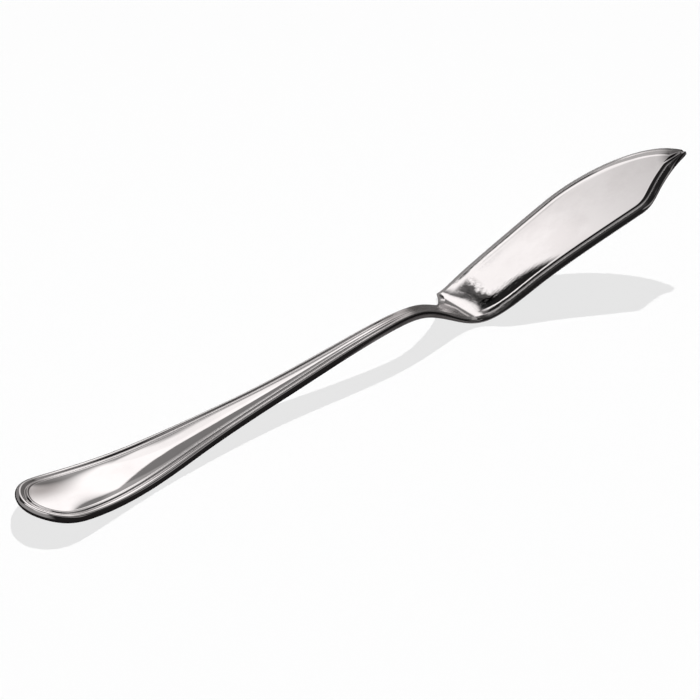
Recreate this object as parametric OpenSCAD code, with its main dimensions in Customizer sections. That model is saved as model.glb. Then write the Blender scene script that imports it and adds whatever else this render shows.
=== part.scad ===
// Fish server: one piece of polished steel with a railed handle and a bordered blade.
// It lies as on a table: +X runs from the end of the handle to the tip of the blade,
// +Y is the side of the convex edge, -Y is the side of the notched edge and +Z is up.
// Places along the piece are distances from the end of the handle, and heights are those
// of the middle of the metal. The origin is on the table under the middle of the piece.

/* [Handle] */
// Distance from the end of the handle to the left shoulder of the blade
handle_l = 178.8; // [177:0.2:182]
// Width of the rounded end
end_w = 23.1; // [20:0.1:25]
// Distance from the end to where the width of the rounded end is taken
end_w_at = 6; // [5:0.2:7]
// Widest width of the handle
handle_w = 27.2; // [24:0.1:30]
// Distance from the end to the widest place
handle_w_at = 16; // [14:0.5:19]
// Width where the handle begins to taper
taper_w = 24.6; // [22:0.1:26.5]
// Distance from the end to where the handle begins to taper
taper_at = 32; // [28:0.5:36]
// Width of the handle a quarter of the way along the piece
quarter_w = 16; // [14.5:0.1:17.5]
// Distance from the end to the quarter width
quarter_at = 64; // [58:0.5:70]
// Width of the handle where it has become slim
slim_w = 9; // [8.4:0.1:11]
// Distance from the end to where the handle has become slim
slim_at = 104; // [98:0.5:110]
// Width of the neck, the narrowest place
neck_w = 5.9; // [5.4:0.1:7.6]
// Distance from the end to the neck
neck_at = 148; // [144:0.5:152]
// Thickness of the handle at its rim
handle_t = 2.6; // [2:0.1:3.2]
// Thickness of the neck
neck_t = 2.7; // [2.3:0.1:3.4]

/* [Rails] */
// Width of the rounded rim round the end of the handle
rim_w = 2.85; // [2.4:0.05:3.2]
// Distance from the end to where the rim begins to slim
rim_slims_at = 40; // [34:1:48]
// Width of the rounded rim along the slim part of the handle
slim_rim_w = 1.85; // [1.5:0.05:2.2]
// Distance from the end to where the rim has become slim
slim_rim_at = 84; // [76:1:92]
// Width of the fine bead inside the rim
bead_w = 1.2; // [0.8:0.1:1.5]
// Width of the bead where it has run out into the blade
bead_end_w = 0.3; // [0.1:0.1:0.8]
// Depth of the groove between rim and bead
groove_d = 0.4; // [0.2:0.05:0.6]
// Depth of the groove between bead and panel
inner_d = 0.15; // [0.05:0.05:0.3]
// Height of the bead above the grooves
bead_h = 0.22; // [0.1:0.02:0.34]
// Height of the crowned panel where it is widest
crown_h = 1.2; // [0.6:0.1:1.6]
// Distance from the end to where the rails begin to fade
fade_at = 136; // [130:1:142]
// Length over which the rails fade
fade_l = 22; // [16:1:28]
// Length over which the crown fades before the valley
crown_fade_l = 20; // [14:1:26]

/* [Blade] */
// Length of the blade from its left shoulder to its tip
blade_l = 91.2; // [86:0.2:100]
// Distance of the left shoulder's corner from the axis
shoulder_w = 13.8; // [12:0.1:15]
// Distance of the convex edge from the axis at its widest
convex_w = 14.6; // [13:0.1:16]
// Distance from the shoulder to where the convex edge begins to close
convex_at = 49; // [40:0.5:54]
// Fullness of the closing curve, where 2 is an ellipse
fullness = 1.86; // [1.7:0.01:2.4]
// Distance of the edge from the axis where the flare begins
join_w = 4.4; // [4.2:0.1:4.8]
// Distance from the end to where the flare begins
join_at = 167; // [166:0.2:168]
// Distance of the flaring edge from the axis behind the shoulder
flare_w = 7.2; // [6.6:0.1:8]
// Distance from the end to the flaring edge behind the shoulder
flare_at = 176; // [175:0.2:176.8]
// Distance of the heel from the axis
heel_w = 11; // [10:0.1:12]
// Distance from the end to the heel
heel_at = 186; // [185:0.2:187]
// Distance of the straight edge from the axis beyond the heel
straight_w = 12.3; // [11.6:0.1:13.2]
// Distance from the end to the beginning of the straight edge
straight_at = 200; // [197:0.5:203]
// Distance of the straight edge from the axis at its middle
middle_w = 14.3; // [13.5:0.1:15.5]
// Distance of the notch's corner from the axis
corner_w = 17.2; // [16:0.1:19]
// Distance from the tip back to the notch's corner
notch_l = 28.6; // [26:0.2:32]
// Reach of the rounding at the notch's corner
corner_reach = 8; // [6:0.2:11]
// Reach of the hollow behind the tip
hollow_reach = 19; // [15:0.2:22]
// Angle between the axis and the hollow's end at the tip
hollow_angle = 9.6; // [4:0.2:16]
// Distance of the tip from the axis, on the notch's side
tip_w = 8.6; // [6:0.1:11]
// Width of the blunt end of the tip
tip_blunt = 1.4; // [0.8:0.1:2]
// Thickness of the blade at its border
blade_t = 2; // [1.6:0.1:2.6]
// Width of the raised border round the blade, from the edge to the crease
border_w = 4.1; // [3.4:0.1:4.6]
// Depth of the crease below the border's crest
border_d = 0.42; // [0.2:0.02:0.5]
// Length from the shoulder over which the border rises
border_l = 10; // [6:1:16]
// Slope of the bevel outside the border's crest
bevel_slope = 0.35; // [0.2:0.05:0.5]
// Depth of the dish at the foot of the face
dish_d = 0.7; // [0:0.05:0.8]
// Distance from the valley to where the dish begins
dish_from = 1; // [0:0.5:4]
// Distance from the valley to the deepest place of the dish
dish_deep_at = 11; // [9:0.5:14]
// Distance from the valley to where the face has become flat
dish_l = 50; // [30:1:60]

/* [Heights] */
// Height of the end of the handle
end_z = 6.1; // [5:0.1:7.4]
// Height of the handle at its widest place
wide_z = 3.1; // [2.8:0.1:3.5]
// Distance from the end to where the handle rests on the table
rest_at = 40; // [36:0.5:46]
// Height of the handle at its quarter width
quarter_z = 2.75; // [2.5:0.05:3.1]
// Height of the handle where it has become slim
slim_z = 6; // [5.4:0.1:6.8]
// Distance from the end to where the arch begins to round over
rise_at = 139; // [137:0.5:141]
// Height of the handle where the arch begins to round over
rise_z = 9.6; // [9.1:0.1:10]
// Distance from the end to the top of the arch
arch_at = 151; // [149:0.2:153]
// Height of the arch
arch_z = 10; // [9.7:0.1:10.8]
// Height a third of the way down from the arch to the valley
fall_high_z = 8.7; // [8.2:0.1:9.2]
// Height two thirds of the way down from the arch to the valley
fall_low_z = 4.5; // [4.1:0.1:4.9]
// Distance from the end to the valley, where the blade rests on the table
valley_at = 178; // [177:0.2:179]
// Distance from the valley to where the blade has begun to rise
lift_at = 8; // [7.4:0.2:9]
// Height of the place where the blade has begun to rise
lift_z = 3.1; // [2.8:0.1:3.5]
// Height of the blade a quarter of the way along it
low_z = 8.4; // [7.9:0.1:9]
// Height of the middle of the blade
blade_z = 15.6; // [14.5:0.1:17]
// Height of the tip
tip_z = 29.6; // [27:0.2:32]

/* [Hidden] */

// Derived places along the piece
length = handle_l + blade_l;
corner_at = length - notch_l;
close_at = handle_l + convex_at;
middle_at = (straight_at + corner_at) / 2;
fall_high_at = (2 * arch_at + valley_at) / 3;
fall_low_at = (arch_at + 2 * valley_at) / 3;
rails_w = rim_w + bead_w;
panel_w = handle_w / 2 - rails_w;

// Shape of the section: shares of the rim and of the border that lie outside their crest,
// the pull of the rounding that leads up to it, the least height of a bevel's foot, how
// the rows crowd at the crest, fullness of the crease, the share of the half width that the
// rails may take up, fullness of the crown across and round the end, and how thin and how
// narrow the metal is where it closes at the tip
rim_crest = 0.55;
border_crest = 0.48;
rounding = 0.55;
least_foot = 0.1;
crest_crowding = 1.5;
crease_fullness = 1.6;
rails_share = 0.82;
crown_fullness = 2.2;
end_fullness = 2.6;
tip_share = 0.35;
tip_room = 2;

// Stations along the handle, the flare, the blade and the notch, which crowd at the end
// of the handle and at the foot of the blade
handle_n = 44;
flare_n = 12;
blade_n = 22;
notch_n = 20;
end_crowding = 1.6;
foot_crowding = 1.3;
station_n = handle_n + flare_n + blade_n + notch_n;

// Rows of a section: up the rim and its groove, over the bead, across the panel,
// down the other side, and back round the underside
rim_n = 6;
step_n = 3;
bead_n = 4;
rail_n = rim_n + step_n + bead_n;
panel_n = 11;
edge_n = 3;
under_n = 5;
top_n = 2 * rail_n + panel_n;
ring_n = top_n + under_n + 2 * edge_n;
fold_n = rail_n + edge_n;

// Smooth curve through points k: the gap and the rise from one point to the next,
// and the second slopes that keep it smooth, found by a forward and a backward sweep
function gap(k, i) = k[i + 1][0] - k[i][0];
function rise(k, i) = (k[i + 1][1] - k[i][1]) / gap(k, i);
function sweep(k, i, c, d) =
    i > len(k) - 2 ? [c, d] :
    let (
        a = gap(k, i - 1),
        m = 2 * (a + gap(k, i)) - a * c[i - 1],
        r = 6 * (rise(k, i) - rise(k, i - 1))
    )
    sweep(k, i + 1, concat(c, [gap(k, i) / m]), concat(d, [(r - a * d[i - 1]) / m]));
function unwind(f, i, m) =
    i < 1 ? concat([0], m) : unwind(f, i - 1, concat([f[1][i] - f[0][i] * m[0]], m));
function curve(k) = [k, unwind(sweep(k, 1, [0], [0]), len(k) - 2, [0])];
function span(k, x, i = 0) = i >= len(k) - 2 || x < k[i + 1][0] ? i : span(k, x, i + 1);
function at(c, x) =
    let (
        i = span(c[0], x),
        h = gap(c[0], i),
        t = (x - c[0][i][0]) / h,
        u = 1 - t
    )
    u * c[0][i][1] + t * c[0][i + 1][1]
    + h * h / 6 * ((u ^ 3 - u) * c[1][i] + (t ^ 3 - t) * c[1][i + 1]);
function slope(c, x) = (at(c, x + 0.05) - at(c, x - 0.05)) / 0.1;

// Small helpers: a blend, a soft ramp from 0 to 1, a unit vector and a bezier curve
function mix(a, b, t) = a + (b - a) * t;
function ramp(x, a, b) = let (t = min(1, max(0, (x - a) / (b - a)))) t * t * (3 - 2 * t);
function unit(v) = v / norm(v);
function bezier(p, t) =
    let (u = 1 - t)
    u ^ 3 * p[0] + 3 * t * u ^ 2 * p[1] + 3 * t ^ 2 * u * p[2] + t ^ 3 * p[3];

// Side line of the handle and of the straight edge. Squared half widths make the end round.
side = curve([
    [0, 0],
    [end_w_at, (end_w / 2) ^ 2],
    [handle_w_at, (handle_w / 2) ^ 2],
    [taper_at, (taper_w / 2) ^ 2],
    [quarter_at, (quarter_w / 2) ^ 2],
    [slim_at, (slim_w / 2) ^ 2],
    [neck_at, (neck_w / 2) ^ 2],
    [join_at, join_w ^ 2],
    [flare_at, flare_w ^ 2],
    [heel_at, heel_w ^ 2],
    [straight_at, straight_w ^ 2],
    [middle_at, middle_w ^ 2],
    [corner_at, corner_w ^ 2]
]);
function side_w(x) = sqrt(max(0, at(side, x)));

// Height line: it touches the table where the handle rests and in the valley
spine = curve([
    [0, end_z],
    [handle_w_at, wide_z],
    [rest_at, handle_t / 2],
    [quarter_at, quarter_z],
    [slim_at, slim_z],
    [rise_at, rise_z],
    [arch_at, arch_z],
    [fall_high_at, fall_high_z],
    [fall_low_at, fall_low_z],
    [valley_at, blade_t / 2],
    [valley_at + lift_at, lift_z],
    [handle_l + blade_l / 4, low_z],
    [handle_l + blade_l / 2, blade_z],
    [length, tip_z]
]);

// Convex edge of the blade from its shoulder, closing on the tip as a full curve
tip_y = -tip_w;
function convex_y(x) =
    x < close_at ? convex_w - (convex_w - shoulder_w) * ((close_at - x) / convex_at) ^ 2 :
    let (u = min(1, (x - close_at) / (length - close_at)))
    tip_y + tip_blunt / 2 + (convex_w - tip_y - tip_blunt / 2) * (1 - u ^ fullness) ^ (1 / fullness);

// Flare from the neck out to the left shoulder
flare_reach = 5;
shoulder_pull = [3, 5];
flare_dir = [1, slope(side, join_at) / (2 * join_w)];
flare_pts = [
    [join_at, join_w],
    [join_at, join_w] + flare_reach * flare_dir,
    [handle_l, shoulder_w] - shoulder_pull,
    [handle_l, shoulder_w]
];

// Notch from its rounded corner through the hollow to the tip
corner_dir = unit([1, -slope(side, corner_at - 0.1) / (2 * corner_w)]);
notch_pts = [
    [corner_at, -corner_w],
    [corner_at, -corner_w] + corner_reach * corner_dir,
    [length, tip_y - tip_blunt / 2] - hollow_reach * [cos(hollow_angle), sin(hollow_angle)],
    [length, tip_y - tip_blunt / 2]
];

// Left and right outlines, station by station
flare_from = handle_n;
blade_from = handle_n + flare_n;
notch_from = blade_from + blade_n;
function station_x(i) =
    i < flare_from ? join_at * (i / flare_from) ^ end_crowding :
    i < blade_from ? mix(join_at, handle_l, (i - flare_from) / flare_n) :
    i < notch_from ? mix(handle_l, corner_at, ((i - blade_from) / blade_n) ^ foot_crowding) :
    let (
        a = asin((corner_at - close_at) / (length - close_at)),
        t = (i - notch_from) / (notch_n - 1)
    )
    close_at + (length - close_at) * sin(mix(a, 90, t));
left = [
    for (i = [0 : station_n - 1])
    let (x = station_x(i))
    i < flare_from ? [x, side_w(x)] :
    i < blade_from ? bezier(flare_pts, (i - flare_from) / flare_n) :
    [x, convex_y(x)]
];
right = [
    for (i = [0 : station_n - 1])
    let (x = station_x(i))
    i < notch_from ? [x, -side_w(x)] : bezier(notch_pts, (i - notch_from) / (notch_n - 1))
];

// Inward direction at station i of an outline: square to the edge on the handle,
// and along the station on the blade, with the stretch that keeps the border's width
turn_n = 6;
slack_n = 8;
square_share = 0.4;
least_square = 0.6;
function along(p, i) = unit(p[min(i + 1, station_n - 1)] - p[max(i - 1, 0)]);
function across_share(i) =
    ramp(i, flare_from - turn_n, blade_from)
    * mix(1, square_share, ramp(i, notch_from - slack_n, notch_from + slack_n / 2));
function inward(p, q, i, s) =
    i == 0 ? [1, 0] :
    let (
        e = along(p, i),
        n = [s * e[1], -s * e[0]],
        d = unit(mix(n, unit(q[i] - p[i]), across_share(i)))
    )
    d / max(least_square, d * n);

// Sizes of the section at x: how far it is from rails to border, the rim, the two grooves,
// the bead, the fading of the crown, the dish and the half thickness
function to_blade(x) = ramp(x, fade_at, handle_l);
function rails_left(x) = 1 - ramp(x, fade_at, fade_at + fade_l);
function step_at(x) = border_d * ramp(x, handle_l, handle_l + border_l);
function rim_at(x) =
    mix(mix(rim_w, slim_rim_w, ramp(x, rim_slims_at, slim_rim_at)), border_w, to_blade(x));
function bead_at(x) = mix(bead_w, bead_end_w, to_blade(x));
function groove_at(x) = groove_d * rails_left(x) + step_at(x);
function inner_at(x) = inner_d * rails_left(x) + step_at(x);
function crown_left(x) = 1 - ramp(x, valley_at - crown_fade_l, valley_at);
function dish_share(x) =
    let (p = x - valley_at)
    ramp(p, dish_from, dish_deep_at) * (1 - ramp(p, dish_deep_at, dish_l));
function half_t(x) =
    mix(mix(handle_t, neck_t, ramp(x, quarter_at, neck_at)), blade_t, ramp(x, neck_at, heel_at)) / 2;

// Half the room between the two outlines, and how much of their width the rails have there
function room(i) = left[i][0] < handle_w_at ? handle_w / 2 : norm(left[i] - right[i]) / 2;
function middle(i) = (left[i][0] + right[i][0]) / 2;
function fit(i) = min(1, rails_share * room(i) / (rim_at(middle(i)) + bead_at(middle(i))));
function crest_at(i) = fit(i) * rim_at(middle(i)) * mix(rim_crest, border_crest, to_blade(middle(i)));
function metal_at(i) = half_t(middle(i)) * min(1, tip_share + room(i) / tip_room);

// Outer side of the rim, from the middle of the edge up to the crest: round on the handle,
// and on the blade a bevel that meets the crest at a slope
function brow(i) =
    let (
        a = crest_at(i),
        t = metal_at(i),
        fall = bevel_slope * to_blade(middle(i)),
        foot = max(least_foot * t, mix(rounding * t, t - a * fall, to_blade(middle(i))))
    )
    [[0, 0], [0, foot], [a - rounding * a, t - rounding * a * fall], [a, t]];

// Rim and rails of the section at station i, as distances in from the outline and heights.
// The step down inside the crest is soft on the handle and crisp on the blade.
function rails(i) =
    let (
        x = middle(i),
        s = fit(i),
        t = metal_at(i),
        a = crest_at(i),
        r = s * rim_at(x),
        b = s * bead_at(x),
        g = s * groove_at(x),
        k = s * inner_at(x),
        h = s * bead_h * rails_left(x),
        p = brow(i)
    )
    concat(
        [for (j = [0 : rim_n - 1]) bezier(p, 1 - (1 - j / (rim_n - 1)) ^ crest_crowding)],
        [
            for (j = [1 : step_n])
            let (
                u = (j / step_n) ^ crest_crowding,
                soft = (1 - cos(180 * u)) / 2,
                crisp = 1 - (1 - u) ^ crease_fullness
            )
            [mix(a, r, u), t - g * mix(soft, crisp, to_blade(x))]
        ],
        [
            for (j = [1 : bead_n])
            let (v = j / bead_n)
            [r + b * v, t - mix(g, k, v) + h * sin(180 * v)]
        ]
    );

// A point of the section: a place in plan, raised square to the height line
function raise(p, h) = [p[0], p[1], at(spine, p[0])] + h * unit([-slope(spine, p[0]), 0, 1]);

// Share of the crown that is left near the end of the handle, where the panel closes
function closing(x) =
    x >= handle_w_at ? 1 : 1 - ((handle_w_at - x) / (handle_w_at - rails_w)) ^ end_fullness;

// Ring of points round the piece at station i
function ring(i) =
    let (
        l = left[i],
        r = right[i],
        in_l = inward(left, right, i, 1),
        in_r = inward(right, left, i, -1),
        rail = rails(i),
        last = rail[rail_n - 1],
        from = l + last[0] * in_l,
        to = r + last[0] * in_r,
        open_w = max(0, room(i) - last[0]),
        crown = crown_h * open_w / panel_w * crown_left(middle(i)) * closing((from[0] + to[0]) / 2),
        rise_h = crown - dish_d * dish_share(middle(i)),
        t = metal_at(i),
        a = crest_at(i),
        under_l = l + a * in_l,
        under_r = r + a * in_r,
        turn = [for (j = [1 : edge_n]) 90 * j / edge_n]
    )
    concat(
        [for (q = rail) raise(l + q[0] * in_l, q[1])],
        [
            for (j = [1 : panel_n])
            let (v = j / (panel_n + 1))
            raise(mix(from, to, v), last[1] + rise_h * (1 - abs(2 * v - 1) ^ crown_fullness))
        ],
        [for (j = [rail_n - 1 : -1 : 0]) raise(r + rail[j][0] * in_r, rail[j][1])],
        [for (w = turn) raise(r + a * (1 - cos(w)) * in_r, -t * sin(w))],
        [for (j = [1 : under_n]) raise(mix(under_r, under_l, j / (under_n + 1)), -t)],
        [for (j = [edge_n - 1 : -1 : 0]) raise(l + a * (1 - cos(turn[j])) * in_l, -t * sin(turn[j]))]
    );

// At the end of the handle both sides of the ring fold onto one line
function fold(j) =
    j < rail_n ? j :
    j < rail_n + panel_n ? rail_n - 1 :
    j < top_n ? top_n - 1 - j :
    j < top_n + edge_n ? rail_n + j - top_n :
    j < top_n + edge_n + under_n ? rail_n + edge_n - 1 :
    rail_n + ring_n - 1 - j;
first = ring(0);
rings = [for (i = [1 : station_n - 1]) ring(i)];
function mean(p) = [for (k = [0 : 2]) let (v = [for (q = p) q[k]]) v * [for (q = p) 1] / len(p)];
points = concat(
    [for (j = [0 : rail_n - 1]) first[j]],
    [for (j = [0 : edge_n - 1]) first[top_n + j]],
    [for (r = rings) each r],
    [mean(rings[station_n - 2])]
);
function spot(i, j) = i == 0 ? fold(j) : fold_n + (i - 1) * ring_n + j;
tip_spot = len(points) - 1;
skin = [
    for (i = [0 : station_n - 2], j = [0 : ring_n - 1])
    let (
        k = (j + 1) % ring_n,
        a = spot(i, j),
        b = spot(i, k),
        c = spot(i + 1, k),
        d = spot(i + 1, j)
    )
    each a == b ? [[a, d, c]] : [[a, c, b], [a, d, c]]
];
cap = [
    for (j = [0 : ring_n - 1])
    [spot(station_n - 1, j), tip_spot, spot(station_n - 1, (j + 1) % ring_n)]
];
lowest = min([for (p = points) p[2]]);
x_mid = (max([for (p = points) p[0]]) + min([for (p = points) p[0]])) / 2;
y_mid = (max([for (p = points) p[1]]) + min([for (p = points) p[1]])) / 2;

// The whole server, with the middle of its plan over the origin
module fish_server() {
    color("silver")
    translate([-x_mid, -y_mid, -lowest])
    polyhedron(points, concat(skin, cap), convexity = 6);
}

fish_server();
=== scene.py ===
"""Fish server of polished steel: the dressed model, its stage, its light and its camera."""

import math

import bpy
import numpy as np
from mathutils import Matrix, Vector


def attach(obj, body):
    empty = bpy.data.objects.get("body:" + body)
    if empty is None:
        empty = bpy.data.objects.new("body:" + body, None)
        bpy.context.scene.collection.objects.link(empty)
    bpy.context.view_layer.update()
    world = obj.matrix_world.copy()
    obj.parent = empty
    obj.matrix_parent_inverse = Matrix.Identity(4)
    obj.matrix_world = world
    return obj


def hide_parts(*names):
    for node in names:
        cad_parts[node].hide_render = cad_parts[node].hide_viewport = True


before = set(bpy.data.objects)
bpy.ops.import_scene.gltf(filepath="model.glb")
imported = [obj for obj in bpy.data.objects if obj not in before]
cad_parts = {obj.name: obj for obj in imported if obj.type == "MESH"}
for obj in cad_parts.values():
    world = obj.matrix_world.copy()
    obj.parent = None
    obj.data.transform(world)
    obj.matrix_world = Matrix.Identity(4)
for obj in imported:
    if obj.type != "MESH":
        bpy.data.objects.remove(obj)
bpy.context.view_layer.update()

bl_info = {
    "name": "Fish server",
    "version": (1, 0, 0),
    "blender": (4, 5, 0),
    "location": "3D View > Sidebar > Fish server",
    "description": "Builds a polished fish server with a railed handle, and its stage",
    "category": "Object",
}

NODE = "fish_server"
MM = 0.001
SHARP_ANGLE = math.radians(50)


def length(name, description, millimetres):
    """A distance that a user can change, given in millimetres and kept in metres."""
    return bpy.props.FloatProperty(
        name=name,
        description=description,
        default=millimetres * MM,
        min=0.0,
        precision=4,
        subtype="DISTANCE",
        unit="LENGTH",
    )


def angle(name, description, degrees):
    """An angle that a user can change, given in degrees and kept in radians."""
    return bpy.props.FloatProperty(
        name=name,
        description=description,
        default=math.radians(degrees),
        subtype="ANGLE",
        unit="ROTATION",
    )


def share(name, description, default, low=0.0, high=1.0):
    """A plain number that a user can change."""
    return bpy.props.FloatProperty(
        name=name, description=description, default=default, min=low, max=high, precision=3
    )


def tint(name, description, colour):
    """A colour that a user can change."""
    return bpy.props.FloatVectorProperty(
        name=name, description=description, default=colour, size=3, min=0.0, max=1.0, subtype="COLOR"
    )


class ServerForm(bpy.types.PropertyGroup):
    """Sizes of the server. Places are distances from the end of the handle."""

    handle_l: length("Handle length", "From the end of the handle to the blade's left shoulder", 178.8)
    end_w: length("End width", "Width of the rounded end", 23.1)
    end_w_at: length("End width's place", "From the end to where the width of the rounded end is taken", 6)
    handle_w: length("Handle width", "Widest width of the handle", 27.2)
    handle_w_at: length("Widest place", "From the end to the widest place", 16)
    taper_w: length("Taper width", "Width where the handle begins to taper", 24.6)
    taper_at: length("Taper place", "From the end to where the taper begins", 32)
    quarter_w: length("Quarter width", "Width a quarter of the way along the piece", 16)
    quarter_at: length("Quarter place", "From the end to the quarter width", 64)
    slim_w: length("Slim width", "Width where the handle has become slim", 9)
    slim_at: length("Slim place", "From the end to where the handle has become slim", 104)
    neck_w: length("Neck width", "Width of the neck", 5.9)
    neck_at: length("Neck place", "From the end to the neck", 148)
    handle_t: length("Handle thickness", "Thickness of the handle at its rim", 2.6)
    neck_t: length("Neck thickness", "Thickness of the neck", 2.7)
    rim_w: length("Rim width", "Width of the rounded rim round the end", 2.85)
    rim_slims_at: length("Rim taper place", "From the end to where the rim begins to slim", 40)
    slim_rim_w: length("Slim rim width", "Width of the rounded rim along the slim part", 1.85)
    slim_rim_at: length("Slim rim place", "From the end to where the rim has become slim", 84)
    bead_w: length("Bead width", "Width of the fine bead inside the rim", 1.2)
    bead_end_w: length("Bead's end", "Width of the bead where it has run out into the blade", 0.3)
    groove_d: length("Groove depth", "Depth of the groove between rim and bead", 0.4)
    inner_d: length("Inner groove depth", "Depth of the groove between bead and panel", 0.15)
    bead_h: length("Bead height", "Height of the bead above the grooves", 0.22)
    crown_h: length("Crown height", "Height of the crowned panel at its widest", 1.2)
    fade_at: length("Fade place", "From the end to where the rails begin to fade", 136)
    fade_l: length("Fade length", "Length over which the rails fade", 22)
    crown_fade_l: length("Crown fade", "Length over which the crown fades before the valley", 20)
    blade_l: length("Blade length", "From the left shoulder to the tip", 91.2)
    shoulder_w: length("Shoulder", "From the axis to the left shoulder's corner", 13.8)
    convex_w: length("Convex edge", "From the axis to the convex edge at its widest", 14.6)
    convex_at: length("Closing place", "From the shoulder to where the convex edge begins to close", 49)
    fullness: share("Fullness", "Fullness of the closing curve, where 2 is an ellipse", 1.86, 1.0, 4.0)
    join_w: length("Flare's beginning", "From the axis to the edge where the flare begins", 4.4)
    join_at: length("Flare's beginning place", "From the end to where the flare begins", 167)
    flare_w: length("Flare", "From the axis to the flaring edge behind the shoulder", 7.2)
    flare_at: length("Flare place", "From the end to the flaring edge behind the shoulder", 176)
    heel_w: length("Heel", "From the axis to the heel", 11)
    heel_at: length("Heel place", "From the end to the heel", 186)
    straight_w: length("Straight edge", "From the axis to the straight edge beyond the heel", 12.3)
    straight_at: length("Straight edge's place", "From the end to the beginning of the straight edge", 200)
    middle_w: length("Straight edge's middle", "From the axis to the straight edge's middle", 14.3)
    corner_w: length("Notch corner", "From the axis to the notch's corner", 17.2)
    notch_l: length("Notch length", "From the tip back to the notch's corner", 28.6)
    corner_reach: length("Corner reach", "Reach of the rounding at the notch's corner", 8)
    hollow_reach: length("Hollow reach", "Reach of the hollow behind the tip", 19)
    hollow_angle: angle("Hollow angle", "Angle between the axis and the hollow's end at the tip", 9.6)
    tip_w: length("Tip offset", "From the axis to the tip, on the notch's side", 8.6)
    tip_blunt: length("Tip width", "Width of the blunt end of the tip", 1.4)
    blade_t: length("Blade thickness", "Thickness of the blade at its border", 2)
    border_w: length("Border width", "Width of the raised border, from the edge to the crease", 4.1)
    border_d: length("Crease depth", "Depth of the crease below the border's crest", 0.42)
    border_l: length("Border rise", "Length from the shoulder over which the border rises", 10)
    bevel_slope: share("Bevel slope", "Slope of the bevel outside the border's crest", 0.35)
    dish_d: length("Dish depth", "Depth of the dish at the foot of the blade's face", 0.7)
    dish_from: length("Dish beginning", "From the valley to where the dish begins", 1)
    dish_deep_at: length("Dish place", "From the valley to the deepest place of the dish", 11)
    dish_l: length("Dish length", "From the valley to where the face has become flat", 50)
    end_z: length("End height", "Height of the end of the handle", 6.1)
    wide_z: length("Wide height", "Height of the handle at its widest place", 3.1)
    rest_at: length("Rest place", "From the end to where the handle rests", 40)
    quarter_z: length("Quarter height", "Height of the handle at its quarter width", 2.75)
    slim_z: length("Slim height", "Height of the handle where it has become slim", 6)
    rise_at: length("Rise place", "From the end to where the arch begins to round over", 139)
    rise_z: length("Rise height", "Height where the arch begins to round over", 9.6)
    arch_at: length("Arch place", "From the end to the top of the arch", 151)
    arch_z: length("Arch height", "Height of the arch", 10)
    fall_high_z: length("Upper fall", "Height a third of the way down to the valley", 8.7)
    fall_low_z: length("Lower fall", "Height two thirds of the way down to the valley", 4.5)
    valley_at: length("Valley place", "From the end to the valley", 178)
    lift_at: length("Lift place", "From the valley to where the blade has begun to rise", 8)
    lift_z: length("Lift height", "Height where the blade has begun to rise", 3.1)
    low_z: length("Low blade height", "Height of the blade a quarter of the way along it", 8.4)
    blade_z: length("Middle blade height", "Height of the middle of the blade", 15.6)
    tip_z: length("Tip height", "Height of the tip", 29.6)


class Curve:
    """Smooth curve through points: a natural cubic spline."""

    def __init__(self, points):
        self.x, self.y = np.array(points, float).T
        gap = np.diff(self.x)
        rise = np.diff(self.y) / gap
        count = len(self.x)
        rows = np.eye(count)
        right = np.zeros(count)
        for i in range(1, count - 1):
            rows[i, i - 1 : i + 2] = gap[i - 1], 2 * (gap[i - 1] + gap[i]), gap[i]
            right[i] = 6 * (rise[i] - rise[i - 1])
        self.bend = np.linalg.solve(rows, right)

    def _spot(self, x):
        i = np.clip(np.searchsorted(self.x, x, side="right") - 1, 0, len(self.x) - 2)
        gap = self.x[i + 1] - self.x[i]
        t = (x - self.x[i]) / gap
        return i, gap, t, 1 - t

    def at(self, x):
        """Value of the curve at x."""
        i, gap, t, u = self._spot(x)
        straight = u * self.y[i] + t * self.y[i + 1]
        return straight + gap**2 / 6 * ((u**3 - u) * self.bend[i] + (t**3 - t) * self.bend[i + 1])

    def slope(self, x):
        """Slope of the curve at x."""
        i, gap, t, u = self._spot(x)
        rise = (self.y[i + 1] - self.y[i]) / gap
        return rise + gap / 6 * ((1 - 3 * u**2) * self.bend[i] + (3 * t**2 - 1) * self.bend[i + 1])


def mix(a, b, t):
    """Blend from a to b."""
    return a + (b - a) * t


def ramp(x, a, b):
    """Soft ramp from 0 at a to 1 at b."""
    t = np.clip((x - a) / (b - a), 0, 1)
    return t * t * (3 - 2 * t)


def unit(v):
    """Vectors at length 1."""
    return v / np.linalg.norm(v, axis=-1, keepdims=True)


def bezier(points, t):
    """Points at t along a cubic bezier curve."""
    p = np.array(points, float)
    t = np.asarray(t)[:, None]
    u = 1 - t
    return u**3 * p[0] + 3 * t * u**2 * p[1] + 3 * t**2 * u * p[2] + t**3 * p[3]


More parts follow.
